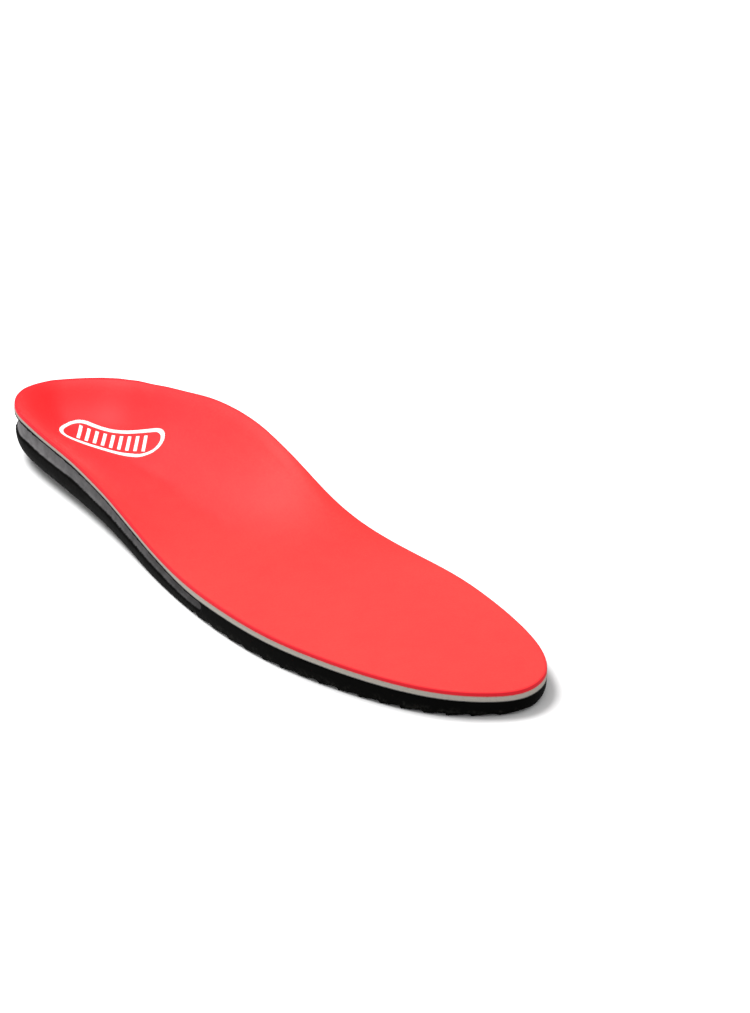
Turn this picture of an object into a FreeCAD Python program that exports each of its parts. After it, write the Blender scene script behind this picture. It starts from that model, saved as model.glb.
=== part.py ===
"""Cushioned insole for a right shoe: laminated cloth, foam and moulded base.

The insole lies on the floor with the heel towards +Y and the toe towards -Y.
The outer (little toe) side is -X and the inner (arch) side is +X.  The origin
is on the floor, in the middle of the length and of the width.
"""
import FreeCAD
import Part

import math
import os
from collections import namedtuple

from FreeCAD import Vector

DRIVING_SIZES = [
    ("insole_length", 280.0, "heel to toe tip"),
    ("heel_width", 52.0, "width that the heel outline is drawn to"),
    ("forefoot_width", 84.5, "width across the ball of the foot"),
    ("cup_height", 21.0, "rim over the floor around the heel"),
    ("arch_height", 29.5, "rim over the floor at the inner arch"),
    ("front_height", 9.6, "top edge over the floor around the forefoot"),
    ("heel_seat_height", 9.6, "top surface under the heel bone"),
    ("waist_height", 11.0, "top surface along the middle of the waist"),
    ("forefoot_height", 9.9, "top surface under the ball of the foot"),
    ("cup_reach", 22.0, "how far the heel cup wall spreads inwards"),
    ("arch_reach", 35.0, "how far the arch support spreads inwards"),
    ("front_reach", 26.0, "how far the forefoot edge spreads inwards"),
    ("lip_radius", 3.0, "rounding where the top surface meets the rim"),
    ("cover_thickness", 1.3, "cloth top cover"),
    ("foam_thickness", 1.8, "cushion foam under the ball of the foot"),
    ("foam_heel_edge", 0.9, "cushion foam thinned at the heel rim"),
    ("web_thickness", 0.2, "adhesive web between layers"),
    ("panel_thickness", 1.2, "cloth panel under the base"),
    ("panel_clearance", 0.15, "gap around the panel in its recess"),
    ("heel_pad_length", 50.0, "shock pad under the heel bone"),
    ("heel_pad_width", 33.0, "shock pad under the heel bone"),
    ("heel_pad_thickness", 2.0, "shock pad under the heel bone"),
    ("heel_pad_station", 36.0, "heel end of the insole to the pad centre"),
    ("forefoot_pad_length", 50.0, "shock pad under the ball of the foot"),
    ("forefoot_pad_width", 62.0, "shock pad under the ball of the foot"),
    ("forefoot_pad_thickness", 1.8, "shock pad under the ball of the foot"),
    ("forefoot_pad_station", 196.0, "heel end of the insole to the pad centre"),
    ("pad_clearance", 0.15, "gap around a pad in its pocket"),
    ("channel_depth", 1.3, "side channel cut into the outer wall"),
    ("channel_lip", 1.1, "wall left above the channel"),
    ("channel_heel_height", 6.6, "channel at its heel end"),
    ("channel_front_height", 2.8, "channel at its front end"),
    ("channel_start", 5.0, "heel end of the insole to the channel"),
    ("channel_finish", 156.0, "heel end of the insole to the channel's front"),
    ("rib_pitch", 8.3, "step of the ribs under the forefoot border"),
    ("rib_depth", 1.2, "how deep the ribs are cut"),
    ("rib_land", 1.2, "flat part of each rib that stands on the floor"),
    ("rib_start", 150.0, "heel end of the insole to the first rib"),
    ("rib_border", 1.2, "plain rim between the panel and the ribs"),
    ("outer_rib_angle", 32.0, "ribs of the outer side from straight across"),
    ("inner_rib_angle", 58.0, "ribs of the inner side from straight across"),
    ("print_length", 44.0, "generic mark printed in the heel seat"),
    ("print_width", 14.0, "generic mark printed in the heel seat"),
    ("print_line", 1.5, "line width of the printed mark"),
    ("print_thickness", 0.12, "ink on the cloth"),
    ("print_station", 38.5, "heel end of the insole to the mark centre"),
    ("print_offset", 5.2, "mark centre inwards from the middle line"),
    ("print_angle", 20.5, "mark turned from the middle line to the arch"),
]

ABOVE_ALL = 20.0      # how far construction solids stand over the highest rim
GRID_STEP = 3.5       # spacing of the points that the top surface goes through
BLOCK_TRIM = 1.0      # how much narrower a lower construction block is
GRID_MARGIN = 12.0    # how far the top surface runs past the outline
RIM_SAMPLES = 400     # points of the rim that distances are measured to
OUTLINE_SPANS = 4     # outline points from one edge of an outline to the next
ROW_PLACES = [0.0, 0.1, 0.25, 0.5, 1.0]   # parameters of the wall's rows, floor to cap
CUP_POWER = 2.4       # steepness of the heel cup wall
ARCH_POWER = 1.8      # steepness of the arch support
OVER_ALL = f"Sizes.arch_height + {ABOVE_ALL}"
TOE_TIP = 14          # place of the toe tip in the outline

# One place on the outline: along the length (0 heel, 1 toe) and across it as a
# share of the local width (+ outer side, - inner side), then the same for the
# edge that stands on the floor.  `level` names the height of the rim there and
# `share` scales it.  `hollow` is 0 for a rounded wall and 1 for a leaning one.
Rim = namedtuple("Rim", "along across foot_along foot_across level share hollow")

OUTLINE = [
    Rim(0.000, 0.013, 0.026, 0.010, "cup_height", 1.00, 0.0),
    Rim(0.013, 0.235, 0.037, 0.168, "cup_height", 1.03, 0.0),
    Rim(0.046, 0.385, 0.062, 0.254, "cup_height", 1.05, 0.0),
    Rim(0.098, 0.458, 0.104, 0.305, "cup_height", 1.04, 0.0),
    Rim(0.189, 0.498, 0.189, 0.370, "cup_height", 0.99, 0.0),
    Rim(0.299, 0.483, 0.299, 0.409, "cup_height", 0.85, 0.0),
    Rim(0.410, 0.467, 0.411, 0.448, "front_height", 1.38, 0.0),
    Rim(0.516, 0.478, 0.516, 0.466, "front_height", 1.18, 0.0),
    Rim(0.617, 0.499, 0.617, 0.490, "front_height", 1.18, 0.0),
    Rim(0.700, 0.489, 0.700, 0.479, "front_height", 1.18, 0.0),
    Rim(0.787, 0.432, 0.786, 0.422, "front_height", 1.16, 0.0),
    Rim(0.867, 0.343, 0.866, 0.335, "front_height", 1.13, 0.0),
    Rim(0.941, 0.205, 0.939, 0.199, "front_height", 1.07, 0.0),
    Rim(0.983, 0.051, 0.978, 0.045, "front_height", 1.01, 0.0),
    Rim(1.000, -0.090, 0.994, -0.090, "front_height", 0.99, 0.0),
    Rim(0.989, -0.218, 0.983, -0.211, "front_height", 0.99, 0.0),
    Rim(0.949, -0.334, 0.945, -0.325, "front_height", 0.97, 0.0),
    Rim(0.876, -0.426, 0.875, -0.417, "front_height", 0.93, 0.0),
    Rim(0.794, -0.479, 0.794, -0.470, "front_height", 0.90, 0.0),
    Rim(0.697, -0.501, 0.697, -0.490, "front_height", 0.90, 0.0),
    Rim(0.605, -0.465, 0.605, -0.444, "front_height", 1.02, 0.3),
    Rim(0.510, -0.400, 0.510, -0.269, "arch_height", 0.55, 0.8),
    Rim(0.417, -0.418, 0.417, -0.116, "arch_height", 0.88, 1.0),
    Rim(0.325, -0.519, 0.325, -0.095, "arch_height", 1.00, 1.0),
    Rim(0.233, -0.613, 0.233, -0.176, "arch_height", 0.98, 0.9),
    Rim(0.133, -0.579, 0.133, -0.294, "cup_height", 1.19, 0.6),
    Rim(0.059, -0.438, 0.069, -0.258, "cup_height", 1.07, 0.3),
    Rim(0.021, -0.233, 0.038, -0.140, "cup_height", 1.02, 0.1),
]

# The cloth panel under the base, in the same shares of the length and width.
PANEL_OUTLINE = [
    (0.037, 0.010), (0.046, 0.150), (0.064, 0.225), (0.134, 0.296),
    (0.262, 0.366), (0.391, 0.392), (0.519, 0.406), (0.605, 0.422),
    (0.691, 0.394), (0.776, 0.310), (0.862, 0.176), (0.896, 0.079),
    (0.910, -0.051), (0.893, -0.157), (0.862, -0.241), (0.776, -0.343),
    (0.691, -0.388), (0.605, -0.361), (0.519, -0.238), (0.434, -0.098),
    (0.348, -0.043), (0.262, -0.091), (0.176, -0.190), (0.098, -0.236),
    (0.063, -0.186), (0.046, -0.104),
]

# Wall profile: height as a share of the rim, and how much of the way in to the
# foot edge the wall is there, for a rounded wall and for a leaning one.
WALL_PROFILE = [(0.0, 1.0, 1.0), (0.2, 0.30, 0.72), (0.52, 0.02, 0.38), (1.0, 0.0, 0.0)]


def smooth_step(value):
    """Return 0 below 0, 1 above 1, and an S curve between."""
    value = min(1.0, max(0.0, value))
    return value * value * (3.0 - 2.0 * value)


def make_sheet(document):
    """Write the driving sizes into a spreadsheet and return it."""
    sheet = document.addObject("Spreadsheet::Sheet", "Sizes")
    for row, (alias, value, note) in enumerate(DRIVING_SIZES, start=1):
        sheet.set(f"A{row}", alias)
        sheet.set(f"B{row}", str(value))
        sheet.set(f"C{row}", note)
        sheet.setAlias(f"B{row}", alias)
    document.recompute()
    return sheet


class Planform:
    """Turns shares of the length and width into places over the floor."""

    def __init__(self, sizes):
        self.sizes = sizes

    def width(self, along):
        """Width of the outline's own scale at a share of the length."""
        widening = smooth_step((along - 0.15) / 0.40)
        heel, front = self.sizes.heel_width, self.sizes.forefoot_width
        return heel + (front - heel) * widening

    def place(self, along, across, height=0.0):
        """Point at shares of the length and of the local width."""
        length = self.sizes.insole_length
        return Vector(-across * self.width(along), length / 2 - along * length, height)

    def station_y(self, station):
        """Y of a distance measured from the heel end."""
        return self.sizes.insole_length / 2 - station

    def rim_height(self, rim):
        """Height of the rim at one place of the outline."""
        return getattr(self.sizes, rim.level) * rim.share

    def wall_points(self, level, inset=0.0):
        """Points of the wall at one row of the profile, moved in by `inset`."""
        share, rounded, leaning = WALL_PROFILE[level]
        points = []
        for rim in OUTLINE:
            height = self.rim_height(rim)
            top = self.place(rim.along, rim.across)
            foot = self.place(rim.foot_along, rim.foot_across)
            inwards = rounded + (leaning - rounded) * rim.hollow
            point = top + (foot - top) * inwards
            points.append(Vector(point.x, point.y, height * share))
        return moved_in(points, inset)


def through(points, places):
    """Smooth open curve that is at each point at the given parameter."""
    curve = Part.BSplineCurve()
    curve.interpolate(Points=list(points), Parameters=places)
    return curve


def surface_through(curves, places):
    """Surface that is at each of the like curves at the given parameter.

    The first direction of the surface crosses the curves and the second
    follows them.
    """
    crossing = [through(poles, places) for poles in zip(*(c.getPoles() for c in curves))]
    along, across = curves[0], crossing[0]
    surface = Part.BSplineSurface()
    surface.buildFromPolesMultsKnots(
        [list(poles) for poles in zip(*(curve.getPoles() for curve in crossing))],
        across.getMultiplicities(), along.getMultiplicities(),
        across.getKnots(), along.getKnots(),
        False, along.isPeriodic(), across.Degree, along.Degree)
    return surface


def moved_in(points, distance):
    """Move the points of a closed outline square to it, towards the inside."""
    if not distance:
        return points
    moved = []
    for index, point in enumerate(points):
        before = points[index - 1]
        after = points[(index + 1) % len(points)]
        run = Vector(after.x - before.x, after.y - before.y, 0).normalize()
        inside = Vector(-run.y, run.x, 0)
        moved.append(point + inside * distance)
    return moved


def closed_curve(points, places=None):
    """Smooth closed curve through the points, at its own or the given parameters."""
    curve = Part.BSplineCurve()
    if places:
        curve.interpolate(Points=points, PeriodicFlag=True, Parameters=places)
    else:
        curve.interpolate(Points=points, PeriodicFlag=True)
    return curve


class FootBed:
    """The top surface: a floor that rises to the rim as a cup and an arch."""

    def __init__(self, sizes, planform):
        self.sizes = sizes
        self.planform = planform
        curve = closed_curve(planform.wall_points(len(WALL_PROFILE) - 1))
        first, last = curve.FirstParameter, curve.LastParameter
        step = (last - first) / RIM_SAMPLES
        self.rim = [curve.value(first + step * index) for index in range(RIM_SAMPLES)]

    def floor_height(self, along):
        """Height of the seat along the middle of the foot."""
        sizes = self.sizes
        rise = smooth_step((along - 0.17) / 0.20)
        fall = smooth_step((along - 0.42) / 0.20)
        seat = sizes.heel_seat_height + (sizes.waist_height - sizes.heel_seat_height) * rise
        return seat + (sizes.forefoot_height - seat) * fall

    def reach(self, rim_point):
        """How far the wall spreads inwards from one point of the rim."""
        sizes = self.sizes
        along = 0.5 - rim_point.y / sizes.insole_length
        arch = smooth_step((along - 0.08) / 0.12) * smooth_step((0.62 - along) / 0.14)
        inner = smooth_step(rim_point.x / (0.2 * sizes.heel_width))
        to_front = smooth_step((along - 0.30) / 0.25)
        reach = sizes.cup_reach + (sizes.front_reach - sizes.cup_reach) * to_front
        return reach + (sizes.arch_reach - reach) * arch * inner

    def nearest_rim(self, x, y):
        """Nearest point of the rim and the distance to it, negative outside."""
        place = min(range(RIM_SAMPLES),
                    key=lambda i: (self.rim[i].x - x) ** 2 + (self.rim[i].y - y) ** 2)
        nearest, distance, inside = None, math.inf, True
        for index in (place - 1, place):
            start, end = self.rim[index], self.rim[(index + 1) % RIM_SAMPLES]
            run_x, run_y = end.x - start.x, end.y - start.y
            across = (x - start.x) * run_x + (y - start.y) * run_y
            share = min(1.0, max(0.0, across / (run_x ** 2 + run_y ** 2)))
            point = start + (end - start) * share
            gap = math.hypot(point.x - x, point.y - y)
            if gap < distance:
                nearest, distance = point, gap
                inside = run_x * (y - start.y) - run_y * (x - start.x) > 0
        return nearest, distance if inside else -distance

    def rise_share(self, x, y):
        """How much of the rise to the rim is reached, and that rim point."""
        point, distance = self.nearest_rim(x, y)
        if distance <= 0:
            return 1.0, point
        lip = self.sizes.lip_radius
        rounded = math.hypot(distance, lip) - lip
        reach = self.reach(point)
        if rounded >= reach:
            return 0.0, point
        leaning = (reach - self.sizes.cup_reach) / (self.sizes.arch_reach - self.sizes.cup_reach)
        power = CUP_POWER + (ARCH_POWER - CUP_POWER) * min(1.0, max(0.0, leaning))
        return (1.0 - rounded / reach) ** power, point

    def height(self, x, y):
        """Height of the top surface."""
        along = min(1.0, max(0.0, 0.5 - y / self.sizes.insole_length))
        floor = self.floor_height(along)
        share, point = self.rise_share(x, y)
        return floor + (point.z - floor) * share

    def foam(self, x, y):
        """Depth of the foam layer: it thins towards the rim of the heel."""
        sizes = self.sizes
        along = 0.5 - y / sizes.insole_length
        share, _ = self.rise_share(x, y)
        heel = 1.0 - smooth_step((along - 0.44) / 0.12)
        return sizes.foam_thickness + (sizes.foam_heel_edge - sizes.foam_thickness) * share * heel


def make_bed_face(document, name, bed, depth, trim=0.0):
    """Surface that lies `depth` under the top surface, narrowed all round by `trim`."""
    sizes = bed.sizes
    half_width = sizes.forefoot_width / 2 + GRID_MARGIN
    half_length = sizes.insole_length / 2 + GRID_MARGIN
    columns = math.ceil(2 * half_width / GRID_STEP)
    rows = math.ceil(2 * half_length / GRID_STEP)
    grid = []
    for column in range(columns + 1):
        x = -half_width + 2 * half_width * column / columns
        line = []
        for row in range(rows + 1):
            y = -half_length + 2 * half_length * row / rows
            line.append(Vector(x, y, bed.height(x, y) - depth(x, y)))
        grid.append(line)
    x_places = [line[0].x for line in grid]
    y_places = [point.y for point in grid[0]]
    lengthwise = [through(line, y_places) for line in grid]
    surface = surface_through(lengthwise, x_places)
    bed_face = document.addObject("Part::Feature", name)
    bed_face.Shape = surface.toShape(x_places[0] + trim, x_places[-1] - trim,
                                     y_places[0] + trim, y_places[-1] - trim)
    return bed_face


def stretches(curve):
    """Parameter ranges that divide a closed curve into stretches, knot to knot."""
    knots = curve.getKnots()
    cuts = knots[::OUTLINE_SPANS]
    if cuts[-1] != knots[-1]:
        cuts.append(knots[-1])
    return list(zip(cuts, cuts[1:]))


def outline_wire(curve):
    """Closed wire of a curve's stretches."""
    return Part.Wire([curve.toShape(first, last) for first, last in stretches(curve)])


def add_wire(document, name, points):
    """Closed smooth wire as a document object."""
    wire = document.addObject("Part::Feature", name)
    wire.Shape = outline_wire(closed_curve(points))
    return wire


def add_prism(document, name, base, length, lift=None):
    """Straight solid over a closed wire; `length` and `lift` are expressions."""
    prism = document.addObject("Part::Extrusion", name)
    prism.Base = base
    prism.Dir = Vector(0, 0, 1)
    prism.Solid = True
    prism.setExpression("LengthFwd", length)
    if lift:
        prism.setExpression("Placement.Base.z", lift)
    return prism


def add_cut(document, name, base, tool):
    """Base without tool."""
    cut = document.addObject("Part::Cut", name)
    cut.Base = base
    cut.Tool = tool
    return cut


def add_common(document, name, base, tool):
    """What base and tool share."""
    common = document.addObject("Part::Common", name)
    common.Base = base
    common.Tool = tool
    return common


def chord_lengths(points):
    """Distance along a closed outline to each point and back to the first."""
    lengths = [0.0]
    for before, after in zip(points, points[1:] + points[:1]):
        lengths.append(lengths[-1] + before.distanceToPoint(after))
    return lengths


def make_wall(document, name, planform, inset):
    """Outer form of the whole insole, from the floor to over the highest rim."""
    rows = [planform.wall_points(level, inset) for level in range(len(WALL_PROFILE))]
    cap_height = planform.sizes.arch_height + ABOVE_ALL / 2
    rows.append([Vector(point.x, point.y, cap_height) for point in rows[-1]])
    places = chord_lengths(rows[-1])
    around = [closed_curve(row, places) for row in rows]
    surface = surface_through(around, ROW_PLACES)
    sides = [surface.toShape(ROW_PLACES[0], ROW_PLACES[-1], first, last)
             for first, last in stretches(around[0])]
    caps = [Part.Face(outline_wire(curve)) for curve in (around[0], around[-1])]
    shell = Part.Shell(sides + caps)
    shell.sewShape()
    wall = document.addObject("Part::Feature", name)
    wall.Shape = Part.makeSolid(shell)
    return wall


def make_layer(document, name, outer_form, face, thickness):
    """Layer of even height that lies on `face`, trimmed by the outer form."""
    slab = add_prism(document, name + "_slab", face, thickness)
    return add_common(document, name, outer_form, slab)


def make_pad(document, name, prefix, sizes, face):
    """Oval shock pad that lies flush in the top of the base, and its outline."""
    oval = document.addObject("Part::Ellipse", name + "_oval")
    long_way, short_way, turn = f"Sizes.{prefix}_length", f"Sizes.{prefix}_width", 90
    if getattr(sizes, prefix + "_width") > getattr(sizes, prefix + "_length"):
        long_way, short_way, turn = short_way, long_way, 0
    oval.setExpression("MajorRadius", f"{long_way} / 2")
    oval.setExpression("MinorRadius", f"{short_way} / 2")
    place_oval(oval, prefix, turn)
    prism = add_prism(document, name + "_prism", oval, OVER_ALL)
    return make_layer(document, name, prism, face, f"Sizes.{prefix}_thickness"), oval


def place_oval(oval, prefix, turn):
    """Put an oval outline on the middle line at the pad's station."""
    oval.Placement = FreeCAD.Placement(Vector(), FreeCAD.Rotation(Vector(0, 0, 1), turn))
    oval.setExpression("Placement.Base.y", f"Sizes.insole_length / 2 - Sizes.{prefix}_station")


def make_pocket(document, name, prefix, oval, face):
    """Room for a shock pad in the base, with its clearance all round."""
    rim = document.addObject("Part::Ellipse", name + "_oval")
    for radius in ("MajorRadius", "MinorRadius"):
        rim.setExpression(radius, f"{oval.Name}.{radius} + Sizes.pad_clearance * 1 mm")
    place_oval(rim, prefix, math.degrees(oval.Placement.Rotation.Angle))
    prism = add_prism(document, name + "_prism", rim, OVER_ALL)
    return add_common(document, name, prism, add_prism(document, name + "_block", face, OVER_ALL))


def make_channel(document, planform, bed, wall):
    """Shallow channel along the outer wall, tapering from the heel to the waist."""
    sizes = planform.sizes
    layers = sizes.cover_thickness + 2 * sizes.web_thickness
    outer_x = -sizes.forefoot_width

    def rim_height_at(station):
        y = planform.station_y(station)
        point = min((p for p in bed.rim if p.x < 0), key=lambda p: abs(p.y - y))
        return point.z - layers - bed.foam(point.x, point.y)

    heel_end, front_end = sizes.channel_start, sizes.channel_finish
    stations = [heel_end + (front_end - heel_end) * step / 6 for step in range(7)]
    upper, lower = [], []
    for station in stations:
        share = (station - heel_end) / (front_end - heel_end)
        height = sizes.channel_heel_height
        height += (sizes.channel_front_height - sizes.channel_heel_height) * share
        top = rim_height_at(station) - sizes.channel_lip
        upper.append(Vector(outer_x, planform.station_y(station), top))
        lower.append(Vector(outer_x, planform.station_y(station), top - height))
    top_line = Part.BSplineCurve()
    top_line.interpolate(upper)
    low_line = Part.BSplineCurve()
    low_line.interpolate(lower)
    edges = [top_line.toShape()]
    for above, below, outwards in ((upper[-1], lower[-1], -1), (upper[0], lower[0], 1)):
        middle = (above + below) / 2 + Vector(0, outwards * (above.z - below.z) / 2, 0)
        edges.append(Part.Arc(above, middle, below).toShape())
    edges.append(low_line.toShape())
    outline = document.addObject("Part::Feature", "channel_outline")
    outline.Shape = Part.Wire(Part.__sortEdges__(edges))
    band = document.addObject("Part::Extrusion", "channel_band")
    band.Base = outline
    band.Dir = Vector(1, 0, 0)
    band.Solid = True
    band.setExpression("LengthFwd", "Sizes.forefoot_width")
    floor_wall = make_wall(document, "channel_floor", planform, sizes.channel_depth)
    return add_cut(document, "channel_tool", band, floor_wall)


def saw_profile(sizes, count):
    """Face across the ribs' cutter: a slope up and a step down for each rib."""
    slope = sizes.rib_depth / (sizes.rib_pitch - sizes.rib_land)
    foot = -slope * sizes.rib_land
    under = foot - sizes.rib_depth
    first = -count * sizes.rib_pitch / 2
    points = [Vector(first, 0, under)]
    for rib in range(count):
        start = first + rib * sizes.rib_pitch
        points.append(Vector(start, 0, foot))
        points.append(Vector(start + sizes.rib_pitch, 0, sizes.rib_depth))
    points.append(Vector(-first, 0, under))
    points.append(points[0])
    return Part.Face(Part.makePolygon(points))


def make_rib_cutter(document, side, planform, kept_middle):
    """Saw-tooth cutter for the outer or the inner half of the forefoot border."""
    sizes = planform.sizes
    outer = side == "outer"
    toe = planform.place(OUTLINE[TOE_TIP].along, OUTLINE[TOE_TIP].across)
    reach = sizes.forefoot_width + sizes.insole_length - sizes.rib_start
    profile = document.addObject("Part::Feature", f"{side}_rib_profile")
    profile.Shape = saw_profile(sizes, 2 * math.ceil(reach / sizes.rib_pitch))
    heading = -90.0 + (sizes.outer_rib_angle if outer else -sizes.inner_rib_angle)
    turn = FreeCAD.Rotation(Vector(0, 0, 1), heading)
    along_rib = turn.multVec(Vector(0, 1, 0))
    profile.Placement = FreeCAD.Placement(toe - along_rib * reach, turn)
    teeth = document.addObject("Part::Extrusion", f"{side}_rib_teeth")
    teeth.Base = profile
    teeth.Dir = along_rib
    teeth.Solid = True
    teeth.LengthFwd = 2 * reach
    half = document.addObject("Part::Box", f"{side}_rib_half")
    half.setExpression("Length", "Sizes.forefoot_width")
    half.setExpression("Width", "Sizes.insole_length - Sizes.rib_start + Sizes.rib_pitch")
    half.setExpression("Height", "4 * Sizes.rib_depth")
    corner_x = toe.x - sizes.forefoot_width if outer else toe.x
    half.Placement.Base = Vector(corner_x, 0, 0)
    half.setExpression("Placement.Base.y", "-Sizes.insole_length / 2 - Sizes.rib_pitch")
    half.setExpression("Placement.Base.z", "-2 * Sizes.rib_depth")
    trimmed = add_common(document, f"{side}_rib_trimmed", teeth, half)
    return add_cut(document, f"{side}_rib_cutter", trimmed, kept_middle)


def stadium(length, width):
    """Closed outline with straight sides and round ends, along Y."""
    radius, straight = width / 2, (length - width) / 2
    corners = [Vector(x * radius, y * straight, 0) for x, y in ((1, -1), (1, 1), (-1, 1), (-1, -1))]
    toe_end, heel_end = Vector(0, -length / 2, 0), Vector(0, length / 2, 0)
    return Part.Wire([
        Part.makeLine(corners[0], corners[1]),
        Part.Arc(corners[1], heel_end, corners[2]).toShape(),
        Part.makeLine(corners[2], corners[3]),
        Part.Arc(corners[3], toe_end, corners[0]).toShape(),
    ])


def print_faces(sizes):
    """Generic mark: a rounded frame round a row of slanted bars."""
    line = sizes.print_line
    frame = stadium(sizes.print_length, sizes.print_width)
    opening = stadium(sizes.print_length - 2 * line, sizes.print_width - 2 * line)
    faces = [Part.Face(frame).cut(Part.Face(opening)).Faces[0]]
    half_bar = sizes.print_width / 2 - 2 * line
    lean = half_bar / 2
    run = sizes.print_length - sizes.print_width
    pitch = 2.4 * line
    count = int(run / pitch) + 1
    for bar in range(count):
        middle = (bar - (count - 1) / 2) * pitch
        low, high = middle - line / 2, middle + line / 2
        corners = [Vector(-half_bar, low - lean, 0), Vector(half_bar, low + lean, 0),
                   Vector(half_bar, high + lean, 0), Vector(-half_bar, high - lean, 0)]
        faces.append(Part.Face(Part.makePolygon(corners + corners[:1])))
    return Part.makeCompound(faces)


def make_print(document, planform, cover_face):
    """Ink of the generic mark, lying on the cover in the heel seat."""
    sizes = planform.sizes
    mark = document.addObject("Part::Feature", "print_faces")
    mark.Shape = print_faces(sizes)
    turn = FreeCAD.Rotation(Vector(0, 0, 1), sizes.print_angle)
    centre = Vector(sizes.print_offset, planform.station_y(sizes.print_station), 0)
    mark.Placement = FreeCAD.Placement(centre, turn)
    prism = add_prism(document, "print_prism", mark, OVER_ALL)
    return make_layer(document, "heel_print", prism, cover_face, "Sizes.print_thickness")


def build():
    """Model the insole and write each sub-part's own file."""
    document = FreeCAD.newDocument("cushioned_insole")
    sizes = make_sheet(document)
    planform = Planform(sizes)
    bed = FootBed(sizes, planform)
    wall = make_wall(document, "outer_form", planform, 0.0)

    def cover_top(x, y):
        return 0.0

    def cover_bottom(x, y):
        return sizes.cover_thickness

    def foam_top(x, y):
        return cover_bottom(x, y) + sizes.web_thickness

    def foam_bottom(x, y):
        return foam_top(x, y) + bed.foam(x, y)

    def base_top(x, y):
        return foam_bottom(x, y) + sizes.web_thickness

    def heel_pad_bottom(x, y):
        return base_top(x, y) + sizes.heel_pad_thickness

    def forefoot_pad_bottom(x, y):
        return base_top(x, y) + sizes.forefoot_pad_thickness

    faces = {}
    for depth in (cover_top, cover_bottom, foam_top, base_top, heel_pad_bottom,
                  forefoot_pad_bottom):
        faces[depth.__name__] = make_bed_face(document, depth.__name__, bed, depth)
    faces["foam_bottom"] = make_bed_face(document, "foam_bottom", bed, foam_bottom, BLOCK_TRIM)

    cover = make_layer(document, "top_cover", wall, faces["cover_bottom"],
                       "Sizes.cover_thickness")
    cover_web = make_layer(document, "cover_adhesive_web", wall, faces["foam_top"],
                           "Sizes.web_thickness")
    foam_slab = add_cut(document, "foam_slab",
                        add_prism(document, "over_foam_bottom", faces["foam_bottom"], OVER_ALL),
                        add_prism(document, "over_foam_top", faces["foam_top"], OVER_ALL))
    foam = add_common(document, "cushion_foam", wall, foam_slab)
    foam_web = make_layer(document, "foam_adhesive_web", wall, faces["base_top"],
                          "Sizes.web_thickness")
    heel_print = make_print(document, planform, faces["cover_top"])

    body = add_cut(document, "base_blank", wall,
                   add_prism(document, "over_base_top", faces["base_top"], OVER_ALL))
    pads = []
    for prefix in ("heel_pad", "forefoot_pad"):
        face = faces[prefix + "_bottom"]
        name = prefix.replace("_pad", "_shock_pad")
        pad, oval = make_pad(document, name, prefix, sizes, face)
        pads.append(pad)
        pocket = make_pocket(document, name + "_pocket", prefix, oval, face)
        body = add_cut(document, "base_with_" + name, body, pocket)

    channel = make_channel(document, planform, bed, wall)
    body = add_cut(document, "base_with_channel", body, channel)

    panel_points = [planform.place(along, across) for along, across in PANEL_OUTLINE]
    panel_wire = add_wire(document, "panel_wire", panel_points)
    panel = add_prism(document, "underside_panel", panel_wire, "Sizes.panel_thickness")
    panel_web = add_prism(document, "underside_adhesive_web", panel_wire,
                          "Sizes.web_thickness", "Sizes.panel_thickness")
    recess_wire = add_wire(document, "recess_wire",
                           moved_in(panel_points, -sizes.panel_clearance))
    recess = add_prism(document, "panel_recess", recess_wire,
                       "2 * (Sizes.panel_thickness + Sizes.web_thickness)",
                       "-Sizes.panel_thickness - Sizes.web_thickness")
    body = add_cut(document, "base_with_recess", body, recess)

    border_wire = add_wire(document, "border_wire", moved_in(panel_points, -sizes.rib_border))
    kept_middle = add_prism(document, "kept_middle", border_wire,
                            "8 * Sizes.rib_depth", "-4 * Sizes.rib_depth")
    body = add_cut(document, "base_with_outer_ribs", body,
                   make_rib_cutter(document, "outer", planform, kept_middle))
    base = add_cut(document, "moulded_base", body,
                   make_rib_cutter(document, "inner", planform, kept_middle))

    document.recompute()
    parts = [cover, cover_web, foam, foam_web, heel_print, base, panel, panel_web] + pads
    check_document(document, parts)
    os.makedirs("parts", exist_ok=True)
    for part in parts:
        part.Shape.exportStep(f"parts/{part.Label}.step")
        box = part.Shape.BoundBox
        print(f"{part.Label:24s} solids {len(part.Shape.Solids)} volume {part.Shape.Volume:9.1f}"
              f"  x {box.XMin:7.2f} {box.XMax:7.2f}  y {box.YMin:7.2f} {box.YMax:7.2f}"
              f"  z {box.ZMin:6.2f} {box.ZMax:6.2f}")


def check_document(document, parts):
    """Stop if any object failed or any sub-part has no sound shape."""
    for item in document.Objects:
        if "Invalid" in item.State or "Error" in item.State:
            raise RuntimeError(f"{item.Label} is in state {item.State}")
    for part in parts:
        sound = not part.Shape.isNull() and part.Shape.isValid() and part.Shape.Volume > 0
        if not sound or not part.Shape.Solids:
            raise RuntimeError(f"{part.Label} has no sound shape")


build()
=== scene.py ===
"""Cushioned insole: cloth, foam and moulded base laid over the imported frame."""

from __future__ import annotations

import logging
import math
from collections.abc import Callable, Sequence
from dataclasses import dataclass, field
from enum import Enum

import bmesh
import bpy
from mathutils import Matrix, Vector
from mathutils.bvhtree import BVHTree
from mathutils.kdtree import KDTree


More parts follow.
